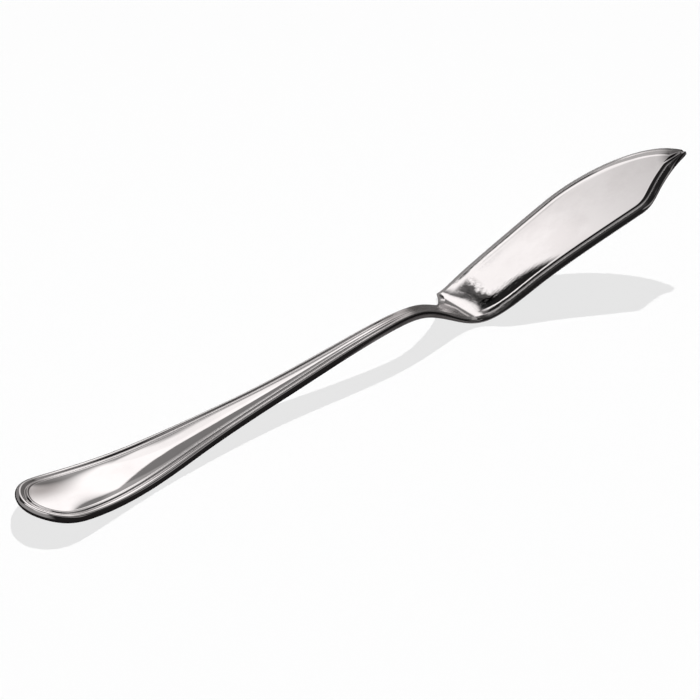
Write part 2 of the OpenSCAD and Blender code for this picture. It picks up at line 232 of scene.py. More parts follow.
class Server:
    """Outlines, height line and sections of the server, from its sizes."""

    # Stations along the server, and points across each part of a section.
    handle_n, flare_n, blade_n, notch_n = 190, 50, 110, 96
    rim_n, step_n, bead_n, panel_n, under_n, edge_n = 14, 9, 10, 56, 18, 9
    rail_n = rim_n + step_n + bead_n
    # How far stations crowd toward the end of the handle and the foot of the blade.
    end_crowding, foot_crowding = 1.6, 1.3
    # How far the flare's curve heads on from the neck, and back and in from the shoulder.
    flare_lead, shoulder_back, shoulder_in = 5 * MM, 3 * MM, 5 * MM
    # Stations over which the border's lines turn from square on the edge to straight across,
    # the share of that turn that is left past the notch, and the least cosine of a line.
    turn_lead, notch_lead, notch_run = 25, 40, 20
    tip_turn, least_cosine = 0.4, 0.6
    # Where the crests lie across the rim and the border, and the most room that the rails take.
    rim_crest, border_crest, rails_share = 0.55, 0.48, 0.82
    # Shape of the rim's brow, and of the fall from its crest.
    rounding, least_foot, crest_crowding, crease_fullness = 0.55, 0.1, 1.5, 1.6
    # Shape of the crown across and at the end, and how far the end's closing reaches.
    crown_fullness, end_fullness, end_reach = 2.2, 3.0, 1.5
    # Share of the thickness that is left at a point, and the room over which it grows.
    tip_share, tip_room = 0.35, 2 * MM

    def __init__(self, s):
        self.s = s
        self.length = s.handle_l + s.blade_l
        self.corner_at = self.length - s.notch_l
        self.close_at = s.handle_l + s.convex_at
        self.side = Curve(
            [
                (0, 0),
                (s.end_w_at, (s.end_w / 2) ** 2),
                (s.handle_w_at, (s.handle_w / 2) ** 2),
                (s.taper_at, (s.taper_w / 2) ** 2),
                (s.quarter_at, (s.quarter_w / 2) ** 2),
                (s.slim_at, (s.slim_w / 2) ** 2),
                (s.neck_at, (s.neck_w / 2) ** 2),
                (s.join_at, s.join_w**2),
                (s.flare_at, s.flare_w**2),
                (s.heel_at, s.heel_w**2),
                (s.straight_at, s.straight_w**2),
                ((s.straight_at + self.corner_at) / 2, s.middle_w**2),
                (self.corner_at, s.corner_w**2),
            ]
        )
        self.spine = Curve(
            [
                (0, s.end_z),
                (s.handle_w_at, s.wide_z),
                (s.rest_at, s.handle_t / 2),
                (s.quarter_at, s.quarter_z),
                (s.slim_at, s.slim_z),
                (s.rise_at, s.rise_z),
                (s.arch_at, s.arch_z),
                ((2 * s.arch_at + s.valley_at) / 3, s.fall_high_z),
                ((s.arch_at + 2 * s.valley_at) / 3, s.fall_low_z),
                (s.valley_at, s.blade_t / 2),
                (s.valley_at + s.lift_at, s.lift_z),
                (s.handle_l + s.blade_l / 4, s.low_z),
                (s.handle_l + s.blade_l / 2, s.blade_z),
                (self.length, s.tip_z),
            ]
        )
        self.outlines()

    def side_w(self, x):
        """Half width of the handle and of the straight edge."""
        return np.sqrt(np.maximum(self.side.at(x), 0))

    def convex_y(self, x):
        """Convex edge of the blade, closing on the tip as a full curve."""
        s = self.s
        foot = -s.tip_w + s.tip_blunt / 2
        back = s.convex_w - (s.convex_w - s.shoulder_w) * ((self.close_at - x) / s.convex_at) ** 2
        u = np.clip((x - self.close_at) / (self.length - self.close_at), 0, 1)
        closing = foot + (s.convex_w - foot) * (1 - u**s.fullness) ** (1 / s.fullness)
        return np.where(x < self.close_at, back, closing)

    def outlines(self):
        """Left and right outlines, station by station."""
        s = self.s
        share_h = np.arange(self.handle_n) / self.handle_n
        share_f = np.arange(self.flare_n) / self.flare_n
        share_b = np.arange(self.blade_n) / self.blade_n
        share_t = np.arange(self.notch_n) / (self.notch_n - 1)
        x_h = s.join_at * share_h**self.end_crowding
        x_f = mix(s.join_at, s.handle_l, share_f)
        x_b = mix(s.handle_l, self.corner_at, share_b**self.foot_crowding)
        reach = self.length - self.close_at
        start = math.asin((self.corner_at - self.close_at) / reach)
        x_t = self.close_at + reach * np.sin(mix(start, math.pi / 2, share_t))
        x = np.concatenate([x_h, x_f, x_b])
        lead, rise = self.flare_lead, float(self.side.slope(s.join_at)) / (2 * s.join_w)
        flare = [
            (s.join_at, s.join_w),
            (s.join_at + lead, s.join_w + lead * rise),
            (s.handle_l - self.shoulder_back, s.shoulder_w - self.shoulder_in),
            (s.handle_l, s.shoulder_w),
        ]
        corner = np.array([self.corner_at, -s.corner_w])
        heading = unit(np.array([1, -float(self.side.slope(self.corner_at)) / (2 * s.corner_w)]))
        point = np.array([self.length, -s.tip_w - s.tip_blunt / 2])
        hollow = np.array([math.cos(s.hollow_angle), math.sin(s.hollow_angle)])
        notch = [corner, corner + s.corner_reach * heading, point - s.hollow_reach * hollow, point]
        self.left = np.concatenate(
            [
                np.stack([x_h, self.side_w(x_h)], 1),
                bezier(flare, share_f),
                np.stack([x_b, self.convex_y(x_b)], 1),
                np.stack([x_t, self.convex_y(x_t)], 1),
            ]
        )
        self.right = np.concatenate([np.stack([x, -self.side_w(x)], 1), bezier(notch, share_t)])

    def inward(self, p, q, side):
        """Inward directions of an outline, stretched so that the border keeps its width."""
        e = np.empty_like(p)
        e[1:-1] = p[2:] - p[:-2]
        e[0] = p[1] - p[0]
        e[-1] = p[-1] - p[-2]
        e = unit(e)
        n = side * np.stack([e[:, 1], -e[:, 0]], 1)
        across = q - p
        across[0] = [1, 0]
        c = unit(across)
        i = np.arange(len(p))
        flare = self.handle_n
        blade = flare + self.flare_n
        notch = blade + self.blade_n
        past = ramp(i, notch - self.notch_lead, notch + self.notch_run)
        turn = ramp(i, flare - self.turn_lead, blade) * mix(1, self.tip_turn, past)
        d = unit(mix(n, c, turn[:, None]))
        d = d / np.maximum(self.least_cosine, (d * n).sum(1))[:, None]
        d[0] = [1, 0]
        return d

    def section(self, i):
        """Rim and rails at station i: distances in from the outline, and heights."""
        s = self.s
        x = (self.left[i, 0] + self.right[i, 0]) / 2
        to_blade = ramp(x, s.fade_at, s.handle_l)
        fade = 1 - ramp(x, s.fade_at, s.fade_at + s.fade_l)
        step = s.border_d * ramp(x, s.handle_l, s.handle_l + s.border_l)
        handle_rim = mix(s.rim_w, s.slim_rim_w, ramp(x, s.rim_slims_at, s.slim_rim_at))
        rim = mix(handle_rim, s.border_w, to_blade)
        bead = mix(s.bead_w, s.bead_end_w, to_blade)
        groove = s.groove_d * fade + step
        inner = s.inner_d * fade + step
        neck = mix(s.handle_t, s.neck_t, ramp(x, s.quarter_at, s.neck_at))
        thick = mix(neck, s.blade_t, ramp(x, s.neck_at, s.heel_at))
        if self.left[i, 0] < s.handle_w_at:
            room = s.handle_w / 2
        else:
            room = np.linalg.norm(self.left[i] - self.right[i]) / 2
        fit = min(1, self.rails_share * room / (rim + bead))
        t = thick / 2 * min(1, self.tip_share + room / self.tip_room)
        r, b = fit * rim, fit * bead
        g, k, h = fit * groove, fit * inner, fit * s.bead_h * fade
        a = mix(self.rim_crest, self.border_crest, to_blade) * r
        fall = s.bevel_slope * to_blade
        foot = max(self.least_foot * t, mix(self.rounding * t, t - a * fall, to_blade))
        brow = [(0, 0), (0, foot), (a - self.rounding * a, t - self.rounding * a * fall), (a, t)]
        w = np.arange(self.rim_n) / (self.rim_n - 1)
        u = (np.arange(1, self.step_n + 1) / self.step_n) ** self.crest_crowding
        soft, crisp = (1 - np.cos(math.pi * u)) / 2, 1 - (1 - u) ** self.crease_fullness
        v = np.arange(1, self.bead_n + 1) / self.bead_n
        rows = np.concatenate(
            [
                bezier(brow, 1 - (1 - w) ** self.crest_crowding),
                np.stack([mix(a, r, u), t - g * mix(soft, crisp, to_blade)], 1),
                np.stack([r + b * v, t - mix(g, k, v) + h * np.sin(math.pi * v)], 1),
            ]
        )
        open_w = max(0, room - r - b)
        panel_w = s.handle_w / 2 - s.rim_w - s.bead_w
        crown = s.crown_h * open_w / panel_w * (1 - ramp(x, s.valley_at - s.crown_fade_l, s.valley_at))
        deep_at = s.valley_at + s.dish_deep_at
        dish = ramp(x, s.valley_at + s.dish_from, deep_at) * (1 - ramp(x, deep_at, s.valley_at + s.dish_l))
        return rows, t, a, crown, s.dish_d * dish

    def raised(self, plan, height):
        """Points in plan, raised square to the height line."""
        slope = self.spine.slope(plan[:, 0])
        normal = unit(np.stack([-slope, np.zeros_like(slope), np.ones_like(slope)], 1))
        base = np.column_stack([plan, self.spine.at(plan[:, 0])])
        return base + np.asarray(height)[:, None] * normal

    def ring(self, i, in_l, in_r):
        """Points round the server at station i."""
        s = self.s
        l, r, dl, dr = self.left[i], self.right[i], in_l[i], in_r[i]
        rows, t, a, crown, dish = self.section(i)
        start, end = l + rows[-1, 0] * dl, r + rows[-1, 0] * dr
        x = (start[0] + end[0]) / 2
        inner = s.rim_w + s.bead_w
        close_at = self.end_reach * s.handle_w_at
        close = 1 - (max(0, close_at - x) / (close_at - inner)) ** self.end_fullness
        v = np.arange(1, self.panel_n + 1) / (self.panel_n + 1)
        w = np.arange(1, self.edge_n + 1) / self.edge_n * math.pi / 2
        k = np.arange(1, self.under_n + 1) / (self.under_n + 1)
        low_l, low_r = l + a * dl, r + a * dr
        plan = [
            l + rows[:, :1] * dl,
            mix(start, end, v[:, None]),
            r + rows[::-1, :1] * dr,
            r + a * (1 - np.cos(w))[:, None] * dr,
            mix(low_r, low_l, k[:, None]),
            l + a * (1 - np.cos(w[::-1]))[:, None] * dl,
        ]
        height = [
            rows[:, 1],
            rows[-1, 1] + (crown * close - dish) * (1 - np.abs(2 * v - 1) ** self.crown_fullness),
            rows[::-1, 1],
            -t * np.sin(w),
            np.full(self.under_n, -t),
            -t * np.sin(w[::-1]),
        ]
        return self.raised(np.concatenate(plan), np.concatenate(height))

    def fold(self):
        """Where each point of the first ring goes: both its sides fold onto one line."""
        rail, panel, under, edge = self.rail_n, self.panel_n, self.under_n, self.edge_n
        top = 2 * rail + panel
        left = list(range(rail)) + [rail - 1] * panel + list(range(rail - 1, -1, -1))
        below = list(range(rail, rail + edge)) + [rail + edge - 1] * under
        return left + below + list(range(rail + edge - 1, rail - 1, -1)), top

    def mesh(self):
        """Points and faces of the closed skin."""
        in_l = self.inward(self.left, self.right, 1)
        in_r = self.inward(self.right, self.left, -1)
        count = len(self.left)
        rings = [self.ring(i, in_l, in_r) for i in range(count)]
        size = len(rings[0])
        folded, top = self.fold()
        kept = self.rail_n + self.edge_n
        first = np.concatenate([rings[0][: self.rail_n], rings[0][top : top + self.edge_n]])
        points = np.concatenate([first] + rings[1:] + [rings[-1].mean(0)[None]])

        def spot(i, j):
            return folded[j] if i == 0 else kept + (i - 1) * size + j

        faces = []
        for i in range(count - 1):
            for j in range(size):
                k = (j + 1) % size
                a, b, c, d = spot(i, j), spot(i, k), spot(i + 1, k), spot(i + 1, j)
                if a == b:
                    faces.append((a, c, d))
                else:
                    faces.append((a, b, c, d))
        tip = len(points) - 1
        faces += [(spot(count - 1, j), spot(count - 1, (j + 1) % size), tip) for j in range(size)]
        return points, faces


class SteelLook(bpy.types.PropertyGroup):
    """Colour and finish of the polished steel."""

    bright: tint("Bright steel", "Colour of the clean polish", (0.93, 0.9, 0.9))
    dull: tint("Dull steel", "Colour where handling has left a film", (0.86, 0.825, 0.825))
    polish: share("Polish", "Roughness of the clean polish", 0.03)
    film: share("Film", "Roughness where handling has left a film", 0.06)
    grain: share("Grain", "Strength of the fine polishing grain", 0.02)
    grain_film: share("Grain in the polish", "How much the grain changes the roughness", 0.04)
    ripple: share("Ripple", "Strength of the slow waves left by rolling and buffing", 0.015)
    # Painted shade: the neck's colour darkens its mirror from before the arch down to the valley.
    neck: tint("Neck", "Colour of the neck, which is brushed and not buffed", (0.4, 0.375, 0.37))
    neck_film: share("Neck film", "Roughness of the brushed neck", 0.2)
    neck_shade_from: length("Brushing's beginning", "From the arch back to where the brushing begins", 15)
    neck_shade_full: length("Full brushing", "From the arch back to where the brushing is full", 3)
    neck_shade_fade: length("Brushing's fading", "From the valley back to where the brushing begins to fade", 6)
    neck_shade_gone: length("Brushing's end", "From the valley to where the brushing has gone", 1.5)
    # A darker patch on the panel near the end of the handle.
    end_patch: tint("Thumb film", "Colour where the thumb leaves a film on the panel's end", (0.34, 0.315, 0.31))
    end_patch_at: length("Thumb film's place", "From the end to the middle of the thumb's film", 11)
    end_patch_y: length("Thumb film's offset", "From the axis to the middle of the thumb's film", 5.5)
    end_patch_l: length("Thumb film's length", "From the middle of the thumb's film to its end", 14.3)
    end_patch_w: length("Thumb film's width", "From the middle of the thumb's film to its side", 9.35)
    end_patch_full: share("Thumb film's middle", "Share of the thumb's film that is full", 0.091)
    valley_film: share("Valley film", "Roughness where the mop can't reach into the valley", 0.12)
    valley_full: length("Valley film's middle", "From the valley to where its film begins to fade", 2.4)
    valley_l: length("Valley film's length", "From the valley to the end of its film", 8)
    # Painted shade: a dark colour laid over the pitted foot of the blade as the dark reflection of its pits,
    # and over the tip.
    painted_shade: tint("Stain", "Colour of the metal that the mop doesn't reach", (0.11, 0.105, 0.105))
    foot_shade_at: length("Stain's place", "From the valley to the middle of the pitted stain", 8.2)
    foot_shade_aside: length("Stain's offset", "From the axis to the middle of the pitted stain", 2.6)
    foot_shade_full_l: length("Stain's full length", "From its middle along to where it begins to fade", 1.2)
    foot_shade_l: length("Stain's length", "From its middle along to where it has gone", 5)
    foot_shade_full_w: length("Stain's full width", "From its middle across to where it begins to fade", 5.85)
    foot_shade_w: length("Stain's width", "From its middle across to where it has gone", 8.06)
    pucker: share("Pucker", "Strength of the fine ripples in the pitted stain", 0.12)
    streak: share("Streaks", "Strength of the buffing streaks that run up the blade from its foot", 0.25)
    streak_l: length("Streak length", "From the valley to where the buffing streaks have gone", 40)
    # The tip's painted shade: a dark spot over the highlight of the crease near the tip.
    tip_l: length("Tip stain", "From the middle of the tip's stain to its end", 9)
    tip_back: length("Tip stain's place", "From the tip back to the middle of its stain", 1.8)
    tip_full: share("Tip stain's middle", "Share of the tip's stain that is full", 0.35)
    tip_shade: share("Tip stain's strength", "How dark the tip's stain is", 0.85)


class StageLook(bpy.types.PropertyGroup):
    """Floor, light and camera."""

    floor_colour: tint("Floor", "Colour of the floor", (0.95, 0.95, 0.95))
    floor_half: length("Floor's half width", "From the middle of the floor and card to their sides", 6000)
    card_lift: length("Card lift", "From the floor up to the card", 0.2)
    card_near: tint("Near card", "Colour of the card's front, for the near sides", (0.012, 0.011, 0.011))
    card_left: tint("Left card", "Colour of the card behind the handle", (0.34, 0.33, 0.33))
    card_right: tint("Right card", "Colour of the card behind the blade", (0.17, 0.165, 0.165))
    card_turn: length("Card turn", "From the card's middle to each end of its change of colour", 12)
    world_tint: tint("Softbox tint", "Colour of the softboxes and walls", (1.0, 0.985, 0.98))
    ambient: share("Ambient", "Strength of the surroundings between the softboxes", 0.014)
    sun_azimuth: angle("Sun azimuth", "Direction of the sun, right of straight behind", 8.2)
    sun_height: angle("Sun height", "Height of the sun above the floor", 37.5)
    sun_spread: angle("Sun spread", "Angle that the sun fills, which softens the shadow's edge", 0.5)
    sun_strength: share("Sun", "Strength of the lamp that casts the shadow", 1.08, 0.0, 20.0)
    fill_strength: share("Fill", "Power of the wide soft lamp overhead, in watts", 59.5, 0.0, 200.0)
    fill_w: length("Fill width", "Width of the wide soft lamp", 4000)
    fill_height: length("Fill height", "From the floor up to the wide soft lamp", 1800)
    camera_azimuth: angle("Camera azimuth", "Direction of the camera round the server", 318.74)
    camera_height: angle("Camera height", "Height angle of the camera", 32.98)
    camera_distance: length("Camera distance", "From the camera to the point it looks at", 1165)
    lens: share("Lens", "Focal length in millimetres", 186.94, 10.0, 400.0)
    sensor_w: share("Sensor width", "Width of the camera's sensor in millimetres", 36.0, 10.0, 100.0)
    look_along: length("Look along", "From the end of the handle to the point looked at", 136.27)
    look_aside: length("Look aside", "From the server's axis to the point looked at", 8.3)


class Softbox:
    """
    Soft-edged patch of light in the surroundings, which the metal mirrors.

    Angles are in degrees: azimuth from straight behind the server, right positive, and height
    above the floor. Each side is given with the width of its soft edge. A lean tilts the low side.
    """

    def __init__(self, left, right, low, high, strength, lean=0.0):
        self.left, self.right, self.low, self.high = left, right, low, high
        self.strength, self.lean = strength, lean

    def light(self, nodes, azimuth, height):
        """Light of the softbox, over the azimuth and the height."""
        level = nodes.math("SUBTRACT", height, nodes.math("MULTIPLY", azimuth, self.lean))
        mask = nodes.ramp(azimuth, *soft_edge(self.left))
        for value, side in ((azimuth, self.right), (height, self.high)):
            mask = nodes.math("MULTIPLY", mask, nodes.ramp(value, *soft_edge(side), 1.0, 0.0))
        rising = nodes.ramp(level, *soft_edge(self.low), 0.0, self.strength)
        return nodes.math("MULTIPLY", mask, rising)


def soft_edge(side):
    """Where a soft edge begins and ends, from its middle and its width."""
    middle, width = side
    return middle - width / 2, middle + width / 2


SOFTBOXES = (
    # The main softbox behind the server, and its left end.
    Softbox(left=(-9, 4), right=(17.5, 4), low=(18.3, 13.5), high=(45.3, 2), strength=1.12, lean=1.2),
    Softbox(left=(-12.5, 3), right=(-5, 4), low=(14, 9), high=(44, 2), strength=1.02),
    # The walls round the main softbox.
    Softbox(left=(-14, 4), right=(2, 8), low=(-30, 4), high=(44, 2), strength=0.33),
    Softbox(left=(-8, 6), right=(30, 14), low=(40, 6), high=(58, 6), strength=0.2),
    Softbox(left=(13, 6), right=(45, 6), low=(42, 6), high=(62, 6), strength=0.36),
    Softbox(left=(0, 8), right=(28, 6), low=(57, 6), high=(74, 6), strength=0.34),
    Softbox(left=(5, 8), right=(40, 16), low=(-30, 4), high=(60, 10), strength=0.2),
    # The softbox that the blade's face mirrors, and the strip above it.
    Softbox(left=(-38, 5), right=(-17, 20), low=(44, 5), high=(70, 6), strength=1.02),
    Softbox(left=(-36, 10), right=(-6, 8), low=(66, 4), high=(76, 6), strength=1.06),
    # The walls on the left, high and low.
    Softbox(left=(-120, 30), right=(-30, 10), low=(62, 8), high=(84, 8), strength=0.45),
    Softbox(left=(-90, 20), right=(-2, 8), low=(-30, 4), high=(27, 6), strength=0.27),
    Softbox(left=(-162, 36), right=(-50, 20), low=(5, 10), high=(76, 8), strength=0.27),
    # A panel on the right, and the ceiling.
    Softbox(left=(68, 15), right=(92, 10), low=(42, 6), high=(80, 6), strength=0.25),
    Softbox(left=(-200, 1), right=(50, 50), low=(72, 8), high=(100, 1), strength=0.05),
)


class Nodes:
    """Makes and links the nodes of one tree."""

    def __init__(self, tree):
        self.tree = tree
        self.tree.nodes.clear()

    def make(self, kind, **settings):
        """A new node with its settings."""
        node = self.tree.nodes.new(kind)
        for key, value in settings.items():
            setattr(node, key, value)
        return node

    def feed(self, socket, value):
        """Link an output to a socket, or set the socket to a constant."""
        if isinstance(value, bpy.types.NodeSocket):
            self.tree.links.new(value, socket)
        else:
            socket.default_value = value

    def math(self, operation, *values):
        """Result of a sum on outputs and constants."""
        node = self.make("ShaderNodeMath", operation=operation)
        for socket, value in zip(node.inputs, values):
            self.feed(socket, value)
        return node.outputs[0]

    def split(self, place):
        """The three axes of a place."""
        node = self.make("ShaderNodeSeparateXYZ")
        self.feed(node.inputs[0], place)
        return tuple(node.outputs)

    def ramp(self, value, low, high, out_low=0.0, out_high=1.0):
        """Soft ramp over a value, between two limits."""
        node = self.make("ShaderNodeMapRange", interpolation_type="SMOOTHSTEP")
        names = ("Value", "From Min", "From Max", "To Min", "To Max")
        for name, item in zip(names, (value, low, high, out_low, out_high)):
            self.feed(node.inputs[name], item)
        return node.outputs[0]

    def blend(self, amount, first, second):
        """Colour between two colours, each an output or a constant."""
        node = self.make("ShaderNodeMix", data_type="RGBA")
        self.feed(node.inputs[0], amount)
        for socket, colour in zip(node.inputs[6:8], (first, second)):
            constant = not isinstance(colour, bpy.types.NodeSocket)
            self.feed(socket, (*colour, 1) if constant else colour)
        return node.outputs[2]

    def noise(self, place, scale, stretch, detail, roughness=0.5):
        """Fractal noise, with its scale per metre and stretched along the axes."""
        mapping = self.make("ShaderNodeMapping")
        self.feed(mapping.inputs["Vector"], place)
        self.feed(mapping.inputs["Scale"], stretch)
        node = self.make("ShaderNodeTexNoise")
        self.feed(node.inputs["Vector"], mapping.outputs[0])
        self.feed(node.inputs["Scale"], scale)
        self.feed(node.inputs["Detail"], detail)
        self.feed(node.inputs["Roughness"], roughness)
        return node.outputs["Fac"]

    def bump(self, height, strength, distance, below=None):
        """Normal of a relief, laid over the relief below."""
        node = self.make("ShaderNodeBump")
        for name, value in (("Height", height), ("Strength", strength), ("Distance", distance)):
            self.feed(node.inputs[name], value)
        if below is not None:
            self.feed(node.inputs["Normal"], below)
        return node.outputs[0]

    def finish(self, kind, shader):
        """Link a shader to an output of the tree."""
        self.feed(self.make(kind).inputs[0], shader.outputs[0])


def node_material(name):
    """A new material, and the maker of its nodes."""
    material = bpy.data.materials.new(name)
    material.use_nodes = True
    return material, Nodes(material.node_tree)


def server_form():
    """The form, from the sizes in the sidebar."""
    return Server(bpy.context.scene.fish_server_form)


def placing(points):
    """Shift from the maker's frame, at the end of the handle, to the frame of the part."""
    low, high = points.min(0), points.max(0)
    return np.array([-(low[0] + high[0]) / 2, -(low[1] + high[1]) / 2, -low[2]])


class Marks:
    """Places on the server that the finish is tied to, in the frame of the part."""

    def __init__(self, sizes, points, shift):
        self.end_x, self.axis_y = float(shift[0]), float(shift[1])
        self.arch_x = sizes.arch_at + self.end_x
        self.valley_x = sizes.valley_at + self.end_x
        self.tip_x, self.tip_y = (points[np.argmax(points[:, 0])] + shift)[:2].tolist()


# Patterns in the finish, and the part of each that counts.
FILM_NOISE = {"scale": 38.0, "stretch": (1, 1.4, 1), "detail": 5.0, "roughness": 0.6}
FILM_RANGE = (0.42, 0.7)
GRAIN_NOISE = {"scale": 900.0, "stretch": (0.06, 1, 1), "detail": 3.0, "roughness": 0.7}
RIPPLE_NOISE = {"scale": 55.0, "stretch": (0.45, 1, 1), "detail": 2.0}
PUCKER_NOISE = {"scale": 420.0, "stretch": (1.4, 0.9, 1), "detail": 3.0, "roughness": 0.62}
PIT_NOISE = {"scale": 230.0, "stretch": (1.0, 0.75, 1), "detail": 6.0, "roughness": 0.66}
PIT_RANGE = (0.37, 0.53)
STREAK_NOISE = {"scale": 700.0, "stretch": (0.05, 1, 1), "detail": 3.0, "roughness": 0.6}
STREAK_RANGE = (0.3, 0.6)
# Least share of the neck's painted shade between its streaks, and the heights of the relief.
LEAST_NECK_SHADE = 0.7
RIPPLE_H, GRAIN_H, PUCKER_H = 2 * MM, 0.2 * MM, 0.6 * MM


class Finish:
    """Layers of the steel's finish, laid out from marks on the server."""

    def __init__(self, nodes, look, marks):
        self.nodes, self.look, self.marks = nodes, look, marks
        self.place = nodes.make("ShaderNodeTexCoord").outputs["Object"]
        self.x, self.y, _ = nodes.split(self.place)
        self.film = nodes.ramp(nodes.noise(self.place, **FILM_NOISE), *FILM_RANGE)
        self.grain = nodes.noise(self.place, **GRAIN_NOISE)
        self.streaks = nodes.noise(self.place, **STREAK_NOISE)
        self.shade_painted = self.neck_shade_mask()
        self.pitted = self.foot_shade_mask()

    def off(self, axis, at):
        """Distance from a place, along an axis."""
        return self.nodes.math("ABSOLUTE", self.nodes.math("SUBTRACT", axis, at))

    def oval(self, centre, reach, full, strength=1.0):
        """Soft oval spot that is full up to a share of its reach."""
        squares = []
        for axis, middle, span in zip((self.x, self.y), centre, reach):
            leg = self.nodes.math("DIVIDE", self.nodes.math("SUBTRACT", axis, middle), span)
            squares.append(self.nodes.math("MULTIPLY", leg, leg))
        away = self.nodes.math("SQRT", self.nodes.math("ADD", *squares))
        return self.nodes.ramp(away, full, 1.0, strength, 0.0)

    def neck_shade_mask(self):
        """The neck, from before the arch down to the valley, where shade is painted into the colour and the
        polish is rougher.
        """
        look, marks = self.look, self.marks
        begins = self.nodes.ramp(self.x, marks.arch_x - look.neck_shade_from, marks.arch_x - look.neck_shade_full)
        fade, gone = marks.valley_x - look.neck_shade_fade, marks.valley_x + look.neck_shade_gone
        return self.nodes.math("MULTIPLY", begins, self.nodes.ramp(self.x, fade, gone, 1.0, 0.0))

    def foot_shade_mask(self):
        """The band across the foot of the blade's face that is pitted, where the dark reflection of the pits
        is painted into the colour.
        """
        look, marks = self.look, self.marks
        along = self.off(self.x, marks.valley_x + look.foot_shade_at)
        across = self.off(self.y, marks.axis_y + look.foot_shade_aside)
        along = self.nodes.ramp(along, look.foot_shade_full_l, look.foot_shade_l, 1.0, 0.0)
        across = self.nodes.ramp(across, look.foot_shade_full_w, look.foot_shade_w, 1.0, 0.0)
        return self.nodes.math("MULTIPLY", along, across)

    def streak_mask(self):
        """The buffing streaks, which run up the blade from its foot."""
        look, valley_x = self.look, self.marks.valley_x
        rise = self.nodes.ramp(self.x, valley_x, valley_x + look.foot_shade_at)
        fall = self.nodes.ramp(self.x, valley_x + look.foot_shade_at, valley_x + look.streak_l, 1.0, 0.0)
        return self.nodes.math("MULTIPLY", fall, rise)

    def colour(self):
        """Clean polish, film, the darker patch near the end, the painted shade on the neck, and the painted
        shade at the foot and the tip, one over the other.
        """
        nodes, look, marks = self.nodes, self.look, self.marks
        colour = nodes.blend(self.film, look.bright, look.dull)
        # A darker patch on the panel near the end of the handle.
        end_patch = (marks.end_x + look.end_patch_at, marks.axis_y + look.end_patch_y)
        end_patched = self.oval(end_patch, (look.end_patch_l, look.end_patch_w), look.end_patch_full)
        colour = nodes.blend(end_patched, colour, look.end_patch)
        # Painted shade on the neck, broken up by the streaks.
        shade_streaks = nodes.ramp(self.streaks, *STREAK_RANGE, LEAST_NECK_SHADE, 1.0)
        colour = nodes.blend(nodes.math("MULTIPLY", self.shade_painted, shade_streaks), colour, look.neck)
        # Painted shade: the dark reflection of the pitted foot of the blade, painted in specks.
        pits = nodes.ramp(nodes.noise(self.place, **PIT_NOISE), *PIT_RANGE)
        # Painted shade: a dark spot over the crease near the tip, where it hides a highlight.
        tip = (marks.tip_x - look.tip_back, marks.tip_y)
        tip_shaded = self.oval(tip, (look.tip_l, look.tip_l), look.tip_full, look.tip_shade)
        shade_cover = nodes.math("MAXIMUM", nodes.math("MULTIPLY", self.pitted, pits), tip_shaded)
        return nodes.blend(shade_cover, colour, look.painted_shade)

    def roughness(self):
        """Polish with film and grain, and the duller neck and valley."""
        nodes, look = self.nodes, self.look
        grain = nodes.math("MULTIPLY", nodes.math("SUBTRACT", self.grain, 0.5), look.grain_film)
        rough = nodes.math("ADD", nodes.ramp(self.film, 0.0, 1.0, look.polish, look.film), grain)
        rough = nodes.math("MAXIMUM", rough, nodes.math("MULTIPLY", self.shade_painted, look.neck_film))
        trough = self.off(self.x, self.marks.valley_x)
        trough = nodes.ramp(trough, look.valley_full, look.valley_l, look.valley_film, 0.0)
        return nodes.math("MAXIMUM", rough, trough)

    def relief(self):
        """Slow ripples, grain, streaks and the pucker of the pitted foot."""
        nodes, look = self.nodes, self.look
        normal = nodes.bump(nodes.noise(self.place, **RIPPLE_NOISE), look.ripple, RIPPLE_H)
        normal = nodes.bump(self.grain, look.grain, GRAIN_H, normal)
        streaked = nodes.math("MULTIPLY", self.streak_mask(), look.streak)
        normal = nodes.bump(self.streaks, streaked, GRAIN_H, normal)
        puckered = nodes.math("MULTIPLY", self.pitted, look.pucker)
        return nodes.bump(nodes.noise(self.place, **PUCKER_NOISE), puckered, PUCKER_H, normal)


def steel_material(look, marks):
    """Mirror polish with film, grain and streaks, painted shade on the neck, and painted shade at the foot
    and the tip.
    """
    material, nodes = node_material("polished_steel")
    finish = Finish(nodes, look, marks)
    shader = nodes.make("ShaderNodeBsdfPrincipled")
    nodes.feed(shader.inputs["Metallic"], 1.0)
    nodes.feed(shader.inputs["Base Color"], finish.colour())
    nodes.feed(shader.inputs["Roughness"], finish.roughness())
    nodes.feed(shader.inputs["Normal"], finish.relief())
    nodes.finish("ShaderNodeOutputMaterial", shader)
    return material


class FISHSERVER_OT_server(bpy.types.Operator):
    """Build the fish server: one closed skin that follows the outline, in polished steel"""

    bl_idname = "fish_server.server"
    bl_label = "Fish server"

    def execute(self, context):
        scene = context.scene
        points, faces = server_form().mesh()
        shift = placing(points)
        skin = bpy.data.meshes.new("server")
        skin.from_pydata((points + shift).tolist(), [], faces)
        skin.update()
        if skin.validate():
            raise RuntimeError("the skin of the server has faces that fold")
        skin.polygons.foreach_set("use_smooth", [True] * len(skin.polygons))
        skin.set_sharp_from_angle(angle=SHARP_ANGLE)
        marks = Marks(scene.fish_server_form, points, shift)
        skin.materials.append(steel_material(scene.fish_server_steel, marks))
        server = bpy.data.objects.new("server", skin)
        scene.collection.objects.link(server)
        server.visible_diffuse = False
        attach(server, "root")
        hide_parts(NODE)
        return {"FINISHED"}


def floor_material(colour):
    """Matt pale floor."""
    material, nodes = node_material("pale_floor")
    shader = nodes.make("ShaderNodeBsdfDiffuse")
    nodes.feed(shader.inputs["Color"], (*colour, 1))
    nodes.finish("ShaderNodeOutputMaterial", shader)
    return material


